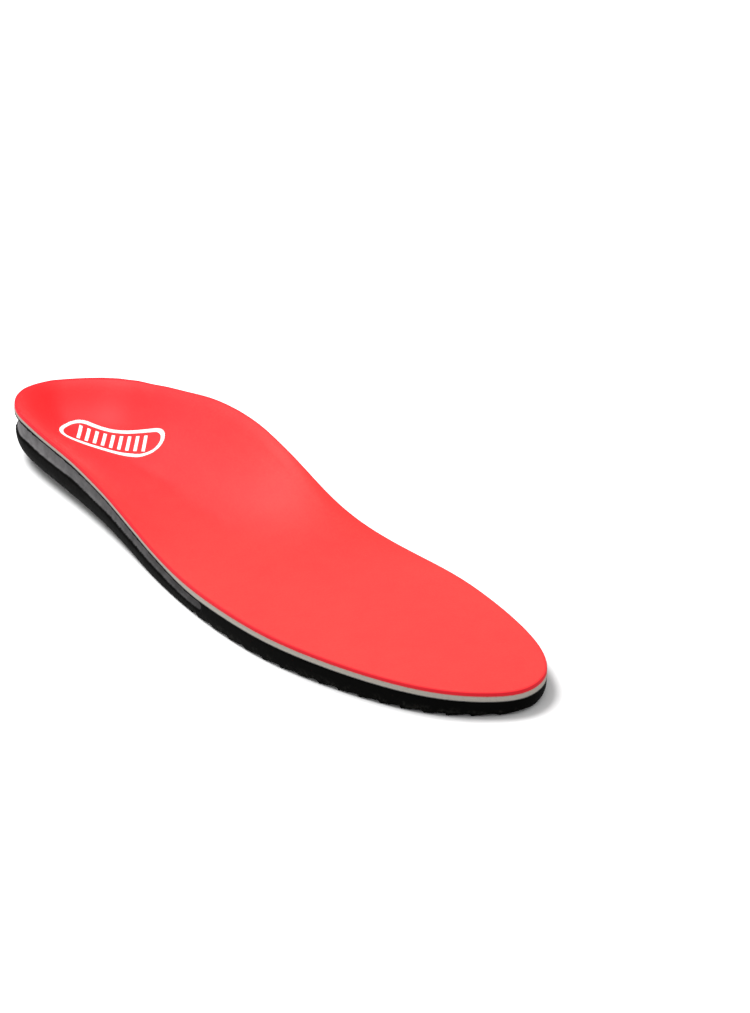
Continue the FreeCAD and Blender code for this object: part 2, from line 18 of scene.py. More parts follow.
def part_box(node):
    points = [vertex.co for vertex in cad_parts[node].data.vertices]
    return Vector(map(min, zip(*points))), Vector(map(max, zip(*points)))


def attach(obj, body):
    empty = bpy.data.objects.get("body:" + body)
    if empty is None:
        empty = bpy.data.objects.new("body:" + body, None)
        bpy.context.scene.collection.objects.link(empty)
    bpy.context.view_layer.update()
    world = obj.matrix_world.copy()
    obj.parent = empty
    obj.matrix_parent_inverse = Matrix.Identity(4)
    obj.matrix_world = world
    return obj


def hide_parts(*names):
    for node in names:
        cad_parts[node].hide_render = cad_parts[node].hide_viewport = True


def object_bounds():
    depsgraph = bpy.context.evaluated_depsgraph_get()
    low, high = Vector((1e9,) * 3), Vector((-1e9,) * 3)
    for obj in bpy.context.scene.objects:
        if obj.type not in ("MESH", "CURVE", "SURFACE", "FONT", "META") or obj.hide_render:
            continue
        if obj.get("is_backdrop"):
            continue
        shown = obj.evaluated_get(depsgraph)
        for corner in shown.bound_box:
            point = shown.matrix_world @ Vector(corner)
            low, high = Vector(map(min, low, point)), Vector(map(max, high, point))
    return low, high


LOG = logging.getLogger("insole")
MM = 0.001
BODY = "root"
CUT_EDGE = "cut_edge"
CHANNEL = "channel"
CHANNEL_SHEEN_FADE = "channel_sheen_fade"
EDGE_WEAR = "edge_wear"
MIX_SHARE, MIX_FIRST, MIX_SECOND, MIX_RESULT = 0, 6, 7, 2
MERGE_GAP = 0.002 * MM
PAIR_REACH = 6 * MM
RIM_SEGMENTS = 3
RIM_DETAIL = 8
DOWNWARD = (0.0, 0.0, -1.0)

Colour = tuple[float, float, float]
Range = tuple[float, float]
Scale = tuple[float, float, float]


class Facing(Enum):
    """Which of a layer's two large faces is meant."""

    UP = 1.0
    DOWN = -1.0


# ---------------------------------------------------------------- shader maths


@dataclass(frozen=True)
class Wire:
    """A number output of a shader node, usable in ordinary arithmetic."""

    graph: "Graph"
    socket: bpy.types.NodeSocket | None

    def _maths(self, operation: str, *values: "Wire | float") -> "Wire":
        """Feed the values to a Math node."""
        inputs = dict(enumerate(values))
        return self.graph.node("ShaderNodeMath", {"operation": operation}, inputs)

    def __add__(self, other: "Wire | float") -> "Wire":
        """Sum."""
        return self._maths("ADD", self, other)

    __radd__ = __add__

    def __sub__(self, other: "Wire | float") -> "Wire":
        """Difference."""
        return self._maths("SUBTRACT", self, other)

    def __rsub__(self, other: float) -> "Wire":
        """Difference from a plain number."""
        return self._maths("SUBTRACT", other, self)

    def __mul__(self, other: "Wire | float") -> "Wire":
        """Product."""
        return self._maths("MULTIPLY", self, other)

    __rmul__ = __mul__

    def clamped(self) -> "Wire":
        """Keep between 0 and 1."""
        return self._maths("MINIMUM", self._maths("MAXIMUM", self, 0.0), 1.0)

    def step(self, low: float, high: float) -> "Wire":
        """Smooth step from 0 at `low` to 1 at `high`."""
        share = ((self - low) * (1.0 / (high - low))).clamped()
        return share * share * (3.0 - 2.0 * share)


class Graph:
    """Node tree of one material."""

    def __init__(self, name: str) -> None:
        """Start an empty material with its output node.

        Args:
            name: Name of the material.
        """
        self.material = bpy.data.materials.new(name)
        self.material.use_nodes = True
        self.tree = self.material.node_tree
        self.tree.nodes.clear()

    def node(self, kind: str, settings: dict | None = None, inputs: dict | None = None,
             output: int | str = 0) -> Wire:
        """Add a node, set it up and feed it.

        Args:
            kind: Node type.
            settings: Attributes of the node, set before its inputs.
            inputs: Socket index or name to a Wire or a plain value.
            output: Which output to return.

        Returns:
            The chosen output, empty for a node that has none.
        """
        made = self.tree.nodes.new(kind)
        for key, value in (settings or {}).items():
            setattr(made, key, value)
        for key, value in (inputs or {}).items():
            if isinstance(value, Wire):
                self.tree.links.new(value.socket, made.inputs[key])
            else:
                made.inputs[key].default_value = value
        return Wire(self, made.outputs[output] if made.outputs else None)

    def object_place(self) -> Wire:
        """Object coordinates."""
        return self.node("ShaderNodeTexCoord", output="Object")

    def split(self, place: Wire, axis: str) -> Wire:
        """One coordinate of a place."""
        return self.node("ShaderNodeSeparateXYZ", None, {"Vector": place}, axis)

    def stretched(self, place: Wire, scale: Scale, turn: float = 0.0) -> Wire:
        """Coordinates scaled along each axis and turned about Z."""
        return self.node("ShaderNodeMapping", None,
                         {"Vector": place, "Scale": scale, "Rotation": (0.0, 0.0, turn)})

    def noise(self, place: Wire, size: float, detail: float = 3.0, rough: float = 0.55) -> Wire:
        """Soft noise whose blobs are `size` metres across."""
        return self.node("ShaderNodeTexNoise", {"noise_dimensions": "3D"},
                         {"Vector": place, "Scale": 1.0 / size, "Detail": detail,
                          "Roughness": rough}, "Fac")

    def cells(self, place: Wire, size: float) -> Wire:
        """Distance to the nearest cell centre, in cells of `size` metres."""
        return self.node("ShaderNodeTexVoronoi", {"feature": "F1"},
                         {"Vector": place, "Scale": 1.0 / size}, "Distance")

    def blend(self, share: Wire | float, first: Colour | Wire, second: Colour | Wire) -> Wire:
        """Mix two colours.

        Args:
            share: Share of the second colour.
            first: Colour where the share is 0.
            second: Colour where the share is 1.

        Returns:
            The mixed colour.
        """
        def full(colour: Colour | Wire) -> tuple | Wire:
            """Give a plain colour its fourth value."""
            return colour if isinstance(colour, Wire) else (*colour, 1.0)

        inputs = {MIX_SHARE: share, MIX_FIRST: full(first), MIX_SECOND: full(second)}
        return self.node("ShaderNodeMix", {"data_type": "RGBA"}, inputs, MIX_RESULT)

    def bump(self, height: Wire, depth: float, under: Wire | None = None) -> Wire:
        """Turn a height pattern into a normal.

        Args:
            height: Pattern from 0 to 1.
            depth: Its full range in metres.
            under: Normal that it is laid over, if any.

        Returns:
            The normal.
        """
        inputs = {"Height": height, "Distance": depth, "Strength": 1.0}
        if under is not None:
            inputs["Normal"] = under
        return self.node("ShaderNodeBump", None, inputs)

    def attribute(self, name: str) -> Wire:
        """Number stored on the piece's points."""
        return self.node("ShaderNodeAttribute", {"attribute_name": name}, None, "Fac")

    def finish(self, **sockets: object) -> bpy.types.Material:
        """Close the graph with a Principled shader.

        Args:
            **sockets: Principled inputs, underscores standing for spaces.

        Returns:
            The finished material.
        """
        inputs = {key.replace("_", " "): value for key, value in sockets.items()}
        shader = self.node("ShaderNodeBsdfPrincipled", None, inputs)
        self.node("ShaderNodeOutputMaterial", None, {"Surface": shader})
        return self.material


# ------------------------------------------------------------------- finishes


@dataclass(frozen=True)
class ClothFinish:
    """Close-knit cloth with a soft calendered face and a raw cut edge; its red is painted deeper
    towards the heel as painted shade for the heel cup.
    """

    name: str
    colour: Colour
    # Darker red used both for random mottle and for the painted shade of the heel cup.
    mottle_and_shade_colour: Colour
    cut: Colour
    stitch: float = 0.55 * MM
    stitch_stretch: Scale = (1.0, 0.45, 1.0)
    fibre: float = 0.16 * MM
    fibre_stretch: Scale = (1.0, 0.3, 1.0)
    fibre_turn: float = math.radians(8)
    patch: float = 9 * MM
    cloud: float = 46 * MM
    pressing: Range = (0.36, 0.64)
    relief: float = 0.05 * MM
    loft: float = 0.10 * MM
    mottle: float = 0.35
    rough: float = 0.48
    fibre_rough: float = 0.16
    raw_rough: float = 0.3
    gloss: float = 0.22
    # Span along object Y over which the painted heel-cup shade grows, and how strong it gets.
    heel_shade_span: Range = (-0.02, 0.12)
    heel_shade_share: float = 0.85
    sheen: float = 0.05
    sheen_rough: float = 0.5
    sheen_tint: Colour = (1.0, 0.72, 0.68)

    def make(self) -> bpy.types.Material:
        """Build the material.

        Returns:
            The material.
        """
        graph = Graph(self.name)
        place = graph.object_place()
        rows = graph.noise(graph.stretched(place, self.stitch_stretch), self.stitch, 1.0, 0.4)
        fibres = graph.noise(graph.stretched(place, self.fibre_stretch, self.fibre_turn),
                             self.fibre, 2.0, 0.6)
        patches = graph.noise(place, self.patch, 4.0, 0.6)
        clouds = graph.noise(place, self.cloud, 2.0, 0.5)
        pressed = (rows * 0.45 + patches * 0.35 + clouds * 0.2).step(*self.pressing)
        # Painted shade: the red deepens towards the heel along object Y, standing in for the
        # shade inside the heel cup.
        heel = graph.split(place, "Y").step(*self.heel_shade_span)
        # Share of the darker red: random mottle plus the painted heel-cup shade.
        depth = (pressed * self.mottle + heel * self.heel_shade_share).clamped()
        face = graph.blend(depth, self.colour, self.mottle_and_shade_colour)
        raw = graph.attribute(CUT_EDGE)
        colour = graph.blend(raw, face, self.cut)
        nap = graph.bump(fibres * 0.5 + rows * 0.5, self.relief)
        loft = graph.bump(patches, self.loft, nap)
        rough = self.rough + fibres * self.fibre_rough + raw * self.raw_rough
        return graph.finish(Base_Color=colour, Roughness=rough, Normal=loft,
                            Specular_IOR_Level=self.gloss, Sheen_Weight=self.sheen,
                            Sheen_Roughness=self.sheen_rough,
                            Sheen_Tint=(*self.sheen_tint, 1.0))


@dataclass(frozen=True)
class FoamFinish:
    """Cut edge and skin of a fine open-cell foam."""

    name: str
    colour: Colour
    pore_colour: Colour
    pore: float = 0.42 * MM
    pore_rim: Range = (0.08, 0.42)
    dust: float = 2.6 * MM
    relief: float = 0.10 * MM
    rough: float = 0.88
    gloss: float = 0.1

    def make(self) -> bpy.types.Material:
        """Build the material.

        Returns:
            The material.
        """
        graph = Graph(self.name)
        place = graph.object_place()
        pores = graph.cells(place, self.pore)
        dust = graph.noise(place, self.dust, 4.0, 0.6)
        open_cells = 1.0 - pores.step(*self.pore_rim)
        colour = graph.blend(open_cells * 0.55 + dust * 0.2, self.colour, self.pore_colour)
        normal = graph.bump(pores + dust * 0.4, self.relief)
        return graph.finish(Base_Color=colour, Roughness=self.rough + dust * 0.08,
                            Normal=normal, Specular_IOR_Level=self.gloss)


@dataclass(frozen=True)
class MouldedFinish:
    """Black compression-moulded foam with a fine satin skin; the side channel's floor is painted
    lighter grey as painted sheen.
    """

    name: str
    colour: Colour
    # Lighter grey painted on the channel floor as painted sheen.
    channel_sheen_colour: Colour
    scuff_colour: Colour
    grain: float = 0.5 * MM
    relief: float = 0.03 * MM
    flow: float = 5 * MM
    flow_relief: float = 0.12 * MM
    speck: float = 0.9 * MM
    channel_border: Range = (-0.05, 0.15)
    channel_mottle: float = 0.35
    rough: float = 0.56
    gloss: float = 0.02

    def make(self) -> bpy.types.Material:
        """Build the material.

        Returns:
            The material.
        """
        graph = Graph(self.name)
        place = graph.object_place()
        skin = graph.cells(place, self.grain)
        flow = graph.noise(place, self.flow, 5.0, 0.62)
        specks = graph.noise(place, self.speck, 2.0, 0.7)
        # Painted sheen: the channel floor is painted lighter grey for the light it catches from
        # the bright surroundings, fading towards the toe.
        inside = graph.attribute(CHANNEL).step(*self.channel_border)
        channel = inside * graph.attribute(CHANNEL_SHEEN_FADE)
        edge = graph.attribute(EDGE_WEAR)
        mottle = flow.step(0.3, 0.7) * self.channel_mottle
        sheen_grey = graph.blend(mottle, self.channel_sheen_colour, self.colour)
        body = graph.blend(channel, self.colour, sheen_grey)
        rubbed = (edge * flow.step(0.45, 0.62) * specks.step(0.42, 0.6)).clamped()
        colour = graph.blend(rubbed, body, self.scuff_colour)
        normal = graph.bump(flow, self.flow_relief, graph.bump(skin, self.relief))
        rough = self.rough + flow * 0.18 + rubbed * 0.2
        return graph.finish(Base_Color=colour, Roughness=rough, Normal=normal,
                            Specular_IOR_Level=self.gloss)


@dataclass(frozen=True)
class InkFinish:
    """Screen-printed ink that follows the cloth."""

    name: str
    colour: Colour
    thin_colour: Colour
    stitch: float = 0.5 * MM
    stitch_stretch: Scale = (1.0, 0.45, 1.0)
    thin_range: Range = (0.52, 0.74)
    thin_share: float = 0.45
    relief: float = 0.03 * MM
    rough: float = 0.42
    gloss: float = 0.3

    def make(self) -> bpy.types.Material:
        """Build the material.

        Returns:
            The material.
        """
        graph = Graph(self.name)
        place = graph.object_place()
        weave = graph.noise(graph.stretched(place, self.stitch_stretch), self.stitch, 2.0, 0.5)
        worn = weave.step(*self.thin_range)
        colour = graph.blend(worn * self.thin_share, self.colour, self.thin_colour)
        return graph.finish(Base_Color=colour, Roughness=self.rough + weave * 0.2,
                            Normal=graph.bump(weave, self.relief),
                            Specular_IOR_Level=self.gloss)


@dataclass(frozen=True)
class HiddenFinish:
    """Webs and pads that lie between the layers."""

    name: str
    colour: Colour
    vein_colour: Colour
    grain: float
    rough: float
    relief: float = 0.05 * MM

    def make(self) -> bpy.types.Material:
        """Build the material.

        Returns:
            The material.
        """
        graph = Graph(self.name)
        place = graph.object_place()
        veins = graph.cells(place, self.grain)
        clouds = graph.noise(place, 4 * self.grain, 3.0, 0.6)
        colour = graph.blend(veins.step(0.1, 0.6), self.vein_colour, self.colour)
        return graph.finish(Base_Color=colour, Roughness=self.rough + clouds * 0.2,
                            Normal=graph.bump(veins, self.relief))


# --------------------------------------------------------------- modelling aids


def select_only(piece: bpy.types.Object) -> None:
    """Make one object the only selected and the active one."""
    bpy.ops.object.select_all(action="DESELECT")
    piece.select_set(True)
    bpy.context.view_layer.objects.active = piece


def cad_copy(node: str, name: str) -> bpy.types.Object:
    """Copy a CAD node's mesh into a new object and merge its loose triangles.

    Args:
        node: Name of the CAD node.
        name: Name of the new object.

    Returns:
        The new object.
    """
    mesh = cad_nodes()[node].data.copy()
    piece = bpy.data.objects.new(name, mesh)
    bpy.context.collection.objects.link(piece)
    select_only(piece)
    bpy.ops.object.mode_set(mode="EDIT")
    bpy.ops.mesh.select_all(action="SELECT")
    bpy.ops.mesh.remove_doubles(threshold=MERGE_GAP)
    bpy.ops.object.mode_set(mode="OBJECT")
    return piece


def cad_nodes() -> dict[str, bpy.types.Object]:
    """The frame's CAD nodes by name."""
    return FRAME["nodes"]


@dataclass
class Layer:
    """One CAD layer, read for its large faces and the loops round them."""

    node: str
    loop_points: int = 480
    crease: float = math.radians(32)
    middle_share: float = 0.35
    level: float = 0.8
    _copy: bpy.types.Object = field(init=False)

    def __post_init__(self) -> None:
        """Take a working copy of the node."""
        self._copy = cad_copy(self.node, self.node + "_reading")

    def drop(self) -> None:
        """Remove the working copy."""
        bpy.data.objects.remove(self._copy, do_unlink=True)

    def _patch(self, facing: Facing) -> set[int]:
        """Grow one large face from its middle up to the creases round it.

        Args:
            facing: Which of the two large faces.

        Returns:
            Indices of its triangles.
        """
        mesh = self._copy.data
        middle = Vector((0.0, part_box(self.node)[0][1] * self.middle_share, 0.0))
        seed = max((poly for poly in mesh.polygons if poly.normal.z * facing.value > self.level),
                   key=lambda poly: poly.area / (0.0001 + (poly.center - middle).xy.length))
        by_edge: dict[tuple[int, int], list[int]] = {}
        for poly in mesh.polygons:
            for key in poly.edge_keys:
                by_edge.setdefault(key, []).append(poly.index)
        patch, frontier = {seed.index}, [seed.index]
        while frontier:
            poly = mesh.polygons[frontier.pop()]
            for key in poly.edge_keys:
                for other in by_edge[key]:
                    turn = poly.normal.angle(mesh.polygons[other].normal, 0.0)
                    if other not in patch and turn < self.crease:
                        patch.add(other)
                        frontier.append(other)
        return patch

    def loop(self, facing: Facing) -> list[Vector]:
        """Read the line round one large face.

        Args:
            facing: Which of the two large faces.

        Returns:
            Evenly spaced points, counter-clockwise from the heel.
        """
        mesh = self._copy.data
        seen: dict[tuple[int, int], int] = {}
        for index in self._patch(facing):
            for key in mesh.polygons[index].edge_keys:
                seen[key] = seen.get(key, 0) + 1
        joined: dict[int, list[int]] = {}
        for (first, second), count in seen.items():
            if count == 1:
                joined.setdefault(first, []).append(second)
                joined.setdefault(second, []).append(first)
        start = max(joined, key=lambda i: mesh.vertices[i].co.y)
        walk, previous = [start], None
        while True:
            ahead = [i for i in joined[walk[-1]] if i != previous]
            previous = walk[-1]
            if not ahead or ahead[0] == start:
                break
            walk.append(ahead[0])
        points = [mesh.vertices[i].co.copy() for i in walk]
        if points[len(points) // 8].x > points[-len(points) // 8].x:
            points = points[:1] + points[:0:-1]
        return resampled(points, self.loop_points)

    def probe(self, facing: Facing) -> Callable[[float, float], float | None]:
        """Read the height of one large face.

        Args:
            facing: Which of the two large faces.

        Returns:
            A function that gives the height over the floor at a place.
        """
        mesh = self._copy.data
        patch = sorted(self._patch(facing))
        corners = [vertex.co for vertex in mesh.vertices]
        tree = BVHTree.FromPolygons(corners, [mesh.polygons[i].vertices for i in patch])

        def height(x: float, y: float) -> float | None:
            """Height at one place, or None outside the face."""
            hit = tree.ray_cast(Vector((x, y, 1.0)), Vector(DOWNWARD))[0]
            return None if hit is None else hit.z

        return height


def resampled(points: Sequence[Vector], count: int) -> list[Vector]:
    """Spread points evenly along a closed line.

    Args:
        points: Corners of the line.
        count: How many points to spread.

    Returns:
        The spread points, the first at the line's first corner.
    """
    closed = list(points) + [points[0]]
    lengths = [0.0]
    for before, after in zip(closed, closed[1:]):
        lengths.append(lengths[-1] + (after - before).length)
    spread, place = [], 0
    for index in range(count):
        target = lengths[-1] * index / count
        while lengths[place + 1] < target:
            place += 1
        run = lengths[place + 1] - lengths[place]
        share = (target - lengths[place]) / run if run else 0.0
        spread.append(closed[place].lerp(closed[place + 1], share))
    return spread


@dataclass
class Skin:
    """One large face of a layer as a clean mesh: rings at the rim, a grid inside."""

    name: str
    loop: list[Vector]
    height: Callable[[float, float], float | None]
    heel_share: float
    rings: tuple[float, ...] = (0.7, 0.8, 1.0, 1.2, 1.3, 1.4)
    longest_edge: float = 4.0 * MM
    relaxing: int = 150
    smoothing: int = 16
    pull: float = 0.5

    def model(self, rim_group: str) -> bpy.types.Object:
        """Model the face flat, then lift it onto the layer.

        Args:
            rim_group: Name of the vertex group that takes the rim.

        Returns:
            The open face as an object.
        """
        bpy.ops.object.select_all(action="DESELECT")
        bpy.ops.mesh.primitive_circle_add(vertices=len(self.loop), radius=1.0, fill_type="NGON")
        piece = bpy.context.active_object
        piece.name = self.name
        for vertex, point in zip(piece.data.vertices, self.loop):
            vertex.co = (point.x, point.y, 0.0)
        bpy.ops.object.mode_set(mode="EDIT")
        bpy.ops.mesh.select_mode(type="FACE")
        bpy.ops.mesh.select_all(action="SELECT")
        for ring in self.rings:
            bpy.ops.mesh.inset(thickness=ring * MM, depth=0.0, use_even_offset=True)
        bpy.ops.mesh.delete(type="ONLY_FACE")
        self._fill(piece)
        bpy.ops.object.mode_set(mode="OBJECT")
        count = len(self.loop)
        rim = piece.vertex_groups.new(name=rim_group)
        rim.add(list(range(count)), 1.0, "REPLACE")
        inside = piece.vertex_groups.new(name="inside")
        inside.add(list(range(count, len(piece.data.vertices))), 1.0, "REPLACE")
        self._even(piece, self.relaxing)
        self._lift(piece)
        self._even(piece, self.smoothing)
        return piece

    def _even(self, piece: bpy.types.Object, iterations: int) -> None:
        """Spread the points inside the rim evenly.

        Args:
            piece: The face being modelled.
            iterations: How often each point moves towards its neighbours.
        """
        even = piece.modifiers.new("even_surface", "SMOOTH")
        even.vertex_group = "inside"
        even.factor = self.pull
        even.iterations = iterations
        bpy.ops.object.modifier_apply(modifier=even.name)

    def _fill(self, piece: bpy.types.Object) -> None:
        """Fill inside the rings with a grid that runs from the heel to the toe.

        Args:
            piece: The face being modelled, in edit mode.
        """
        half_heel = round(len(self.loop) * self.heel_share / 2)
        for corner in (half_heel, -half_heel):
            longest = self._try_grid(piece, self.loop[corner], 2 * half_heel)
            if longest < self.longest_edge:
                return
            bpy.ops.mesh.delete(type="FACE")
        raise RuntimeError(f"{self.name}: the grid does not follow the foot")

    def _try_grid(self, piece: bpy.types.Object, corner_place: Vector, span: int) -> float:
        """Fill the inner rim with a grid that starts at the rim point by `corner_place`.

        Args:
            piece: The face being modelled, in edit mode.
            corner_place: Point of the outer loop next to the grid's first corner.
            span: Number of edges round the heel.

        Returns:
            Length of the grid's longest edge.
        """
        bpy.ops.mesh.select_mode(type="VERT")
        bpy.ops.mesh.select_all(action="DESELECT")
        mesh = bmesh.from_edit_mesh(piece.data)
        mesh.verts.ensure_lookup_table()
        count = len(self.loop)
        for edge in mesh.edges:
            outer = edge.verts[0].index < count and edge.verts[1].index < count
            if len(edge.link_faces) == 1 and not outer:
                edge.select_set(True)
        corner = min((vertex for vertex in mesh.verts if vertex.select),
                     key=lambda vertex: (vertex.co.xy - corner_place.xy).length)
        mesh.select_history.clear()
        mesh.select_history.add(corner)
        bmesh.update_edit_mesh(piece.data)
        bpy.ops.mesh.fill_grid(span=span, offset=0)
        bpy.ops.mesh.select_mode(type="FACE")
        mesh = bmesh.from_edit_mesh(piece.data)
        chosen = (face for face in mesh.faces if face.select)
        return max(edge.calc_length() for face in chosen for edge in face.edges)

    def _lift(self, piece: bpy.types.Object) -> None:
        """Raise every point from the flat drawing to the layer's surface.

        Args:
            piece: The flat face.
        """
        for index, vertex in enumerate(piece.data.vertices):
            if index < len(self.loop):
                vertex.co.z = self.loop[index].z
            else:
                found = self.height(vertex.co.x, vertex.co.y)
                vertex.co.z = found if found is not None else self._nearest(vertex.co).z

    def _nearest(self, place: Vector) -> Vector:
        """Nearest point of the loop, seen from above."""
        return min(self.loop, key=lambda point: (point.xy - place.xy).length)


def paired(loop: list[Vector], guide: list[Vector]) -> list[Vector]:
    """Find the point of a loop that lies under or over each point of another.

    Args:
        loop: Closed line that the points are taken from.
        guide: Closed line whose points are paired.

    Returns:
        One point of the loop for each point of the guide.
    """
    spans = list(zip(loop, loop[1:] + loop[:1]))
    found = []
    for point in guide:
        best, best_gap = None, math.inf
        for start, end in spans:
            if (start - point).xy.length_squared > PAIR_REACH ** 2:
                continue
            run = (end - start).xy
            share = max(0.0, min(1.0, (point - start).xy.dot(run) / run.length_squared))
            place = start.lerp(end, share)
            gap = (place - point).xy.length_squared
            if gap < best_gap:
                best, best_gap = place, gap
        found.append(best)
    return found


@dataclass
class LayerSolid:
    """Closed solid of a layer: its two faces joined by a wall."""

    name: str
    node: str
    under: str
    under_facing: Facing
    top_radius: float
    low_radius: float
    wall_rows: int = 3
    hollow: float = 0.0
    heel_share: float = 0.125

    def model(self) -> bpy.types.Object:
        """Model both faces and the wall between them, and round the rims.

        Returns:
            The closed layer.
        """
        over, under = Layer(self.node), Layer(self.under)
        top_loop = over.loop(Facing.UP)
        low_loop = paired(under.loop(self.under_facing), top_loop)
        top = Skin(self.name, top_loop, over.probe(Facing.UP), self.heel_share).model("top_rim")
        low = Skin(self.name + "_low", low_loop, under.probe(self.under_facing),
                   self.heel_share).model("low_rim")
        over.drop()
        under.drop()
        low_start = len(top.data.vertices)
        select_only(top)
        low.select_set(True)
        bpy.ops.object.join()
        bpy.ops.object.mode_set(mode="EDIT")
        self._wall(top, len(top_loop), low_start)
        bpy.ops.mesh.select_all(action="SELECT")
        bpy.ops.mesh.normals_make_consistent(inside=False)
        bpy.ops.object.mode_set(mode="OBJECT")
        round_rim(top, "low_rim", self.low_radius)
        round_rim(top, "top_rim", self.top_radius)
        bpy.ops.object.shade_smooth()
        mark_cut_edge(top, top_loop)
        return top

    def _wall(self, piece: bpy.types.Object, count: int, low_start: int) -> None:
        """Join the two rims by rows of faces, drawn in a little between them.

        Args:
            piece: The layer with its two open faces, in edit mode.
            count: Number of points on each rim.
            low_start: Index of the lower rim's first point.
        """
        mesh = bmesh.from_edit_mesh(piece.data)
        mesh.verts.ensure_lookup_table()
        top = [mesh.verts[index] for index in range(count)]
        low = [mesh.verts[low_start + index] for index in range(count)]
        rows = [top]
        for row in range(1, self.wall_rows):
            share = row / self.wall_rows
            made = []
            for index in range(count):
                along = top[(index + 1) % count].co - top[index - 1].co
                inward = Vector((-along.y, along.x, 0.0)).normalized()
                place = top[index].co.lerp(low[index].co, share)
                place += inward * self.hollow * math.sin(math.pi * share)
                made.append(mesh.verts.new(place))
            rows.append(made)
        rows.append(low)
        for upper, lower in zip(rows, rows[1:]):
            for index in range(count):
                ahead = (index + 1) % count
                mesh.faces.new((upper[index], upper[ahead], lower[ahead], lower[index]))
        bmesh.update_edit_mesh(piece.data)


def round_rim(piece: bpy.types.Object, group: str, radius: float) -> None:
    """Round the edges between the points of one vertex group.

    Args:
        piece: The layer.
        group: Name of the vertex group.
        radius: Width of the rounding.
    """
    bevel = piece.modifiers.new("rounded_" + group, "BEVEL")
    bevel.limit_method = "VGROUP"
    bevel.vertex_group = group
    bevel.width = radius
    bevel.segments = RIM_SEGMENTS
    bevel.use_clamp_overlap = True
    bpy.ops.object.modifier_apply(modifier=bevel.name)


def store(piece: bpy.types.Object, name: str, values: Sequence[float]) -> None:
    """Store one number on each of a piece's points."""
    marks = piece.data.attributes.new(name, "FLOAT", "POINT")
    marks.data.foreach_set("value", values)


def plan_tree(points: Sequence[Vector]) -> KDTree:
    """Make a search tree of points as seen from above.

    Args:
        points: The points.

    Returns:
        The tree, whose indices are the points' own.
    """
    tree = KDTree(len(points))
    for index, point in enumerate(points):
        tree.insert((point.x, point.y, 0.0), index)
    tree.balance()
    return tree


def mark_cut_edge(piece: bpy.types.Object, loop: list[Vector], depth: float = 0.3 * MM,
                  fade: float = 0.3 * MM) -> None:
    """Store on each point how far it belongs to the layer's raw cut edge.

    Args:
        piece: The layer.
        loop: Line of its upper rim.
        depth: How far in from the rim, seen from above, the edge reaches.
        fade: Width of its soft border.
    """
    tree = plan_tree(resampled(loop, RIM_DETAIL * len(loop)))
    values = []
    for vertex in piece.data.vertices:
        gap = tree.find((vertex.co.x, vertex.co.y, 0.0))[2]
        values.append(max(0.0, min(1.0, 1.0 - (gap - depth) / fade)))
    store(piece, CUT_EDGE, values)


# ---------------------------------------------------------------------- pieces


@dataclass
class TopCover:
    """Red cloth laid over the whole top."""

    node: str = "top_cover"
    edge_radius: float = 0.55 * MM
    under_radius: float = 0.12 * MM
    cut_area: float = 0.01910
    cut_width: float = 0.0885
    cut_length: float = 0.2825
    # The cover's darker red carries random mottle and the painted shade of the heel cup.
    finish: ClothFinish = ClothFinish(
        "cover_cloth", colour=(0.93, 0.031, 0.026), mottle_and_shade_colour=(0.86, 0.012, 0.016),
        cut=(0.60, 0.009, 0.019))

    def build(self) -> bpy.types.Object:
        """Model the cover and lay it on the foam.

        Returns:
            The cover.
        """
        cover = LayerSolid("cover_sheet", self.node, "cover_adhesive_web", Facing.UP,
                           self.edge_radius, self.under_radius).model()
        cover.data.materials.append(self.finish.make())
        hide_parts(self.node)
        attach(cover, BODY)
        return cover


@dataclass
class CushionFoam:
    """Light foam whose cut edge shows under the cover."""

    node: str = "cushion_foam"
    edge_radius: float = 0.16 * MM
    wall_rows: int = 4
    hollow: float = 0.14 * MM
    finish: FoamFinish = FoamFinish(
        "foam_cells", colour=(0.37, 0.345, 0.305), pore_colour=(0.225, 0.200, 0.175))

    def build(self) -> bpy.types.Object:
        """Model the foam layer.

        Returns:
            The foam.
        """
        foam = LayerSolid("foam_layer", self.node, "foam_adhesive_web", Facing.UP,
                          self.edge_radius, self.edge_radius, self.wall_rows,
                          self.hollow).model()
        foam.data.materials.append(self.finish.make())
        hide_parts(self.node)
        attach(foam, BODY)
        return foam


@dataclass
class UndersidePanel:
    """Red cloth panel let into the underside."""

    node: str = "underside_panel"
    upper_radius: float = 0.1 * MM
    edge_radius: float = 0.3 * MM
    heel_share: float = 0.08
    cut_area: float = 0.01038
    cut_width: float = 0.0690
    cut_length: float = 0.2450
    finish: ClothFinish = ClothFinish(
        "panel_cloth", colour=(0.86, 0.030, 0.036), mottle_and_shade_colour=(0.64, 0.012, 0.022),
        cut=(0.60, 0.010, 0.020), mottle=0.6, rough=0.66, gloss=0.12,
        heel_shade_span=(1.0, 2.0))

    def build(self) -> bpy.types.Object:
        """Model the panel.

        Returns:
            The panel.
        """
        panel = LayerSolid("panel_sheet", self.node, self.node, Facing.DOWN, self.upper_radius,
                           self.edge_radius, heel_share=self.heel_share).model()
        panel.data.materials.append(self.finish.make())
        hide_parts(self.node)
        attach(panel, BODY)
        return panel


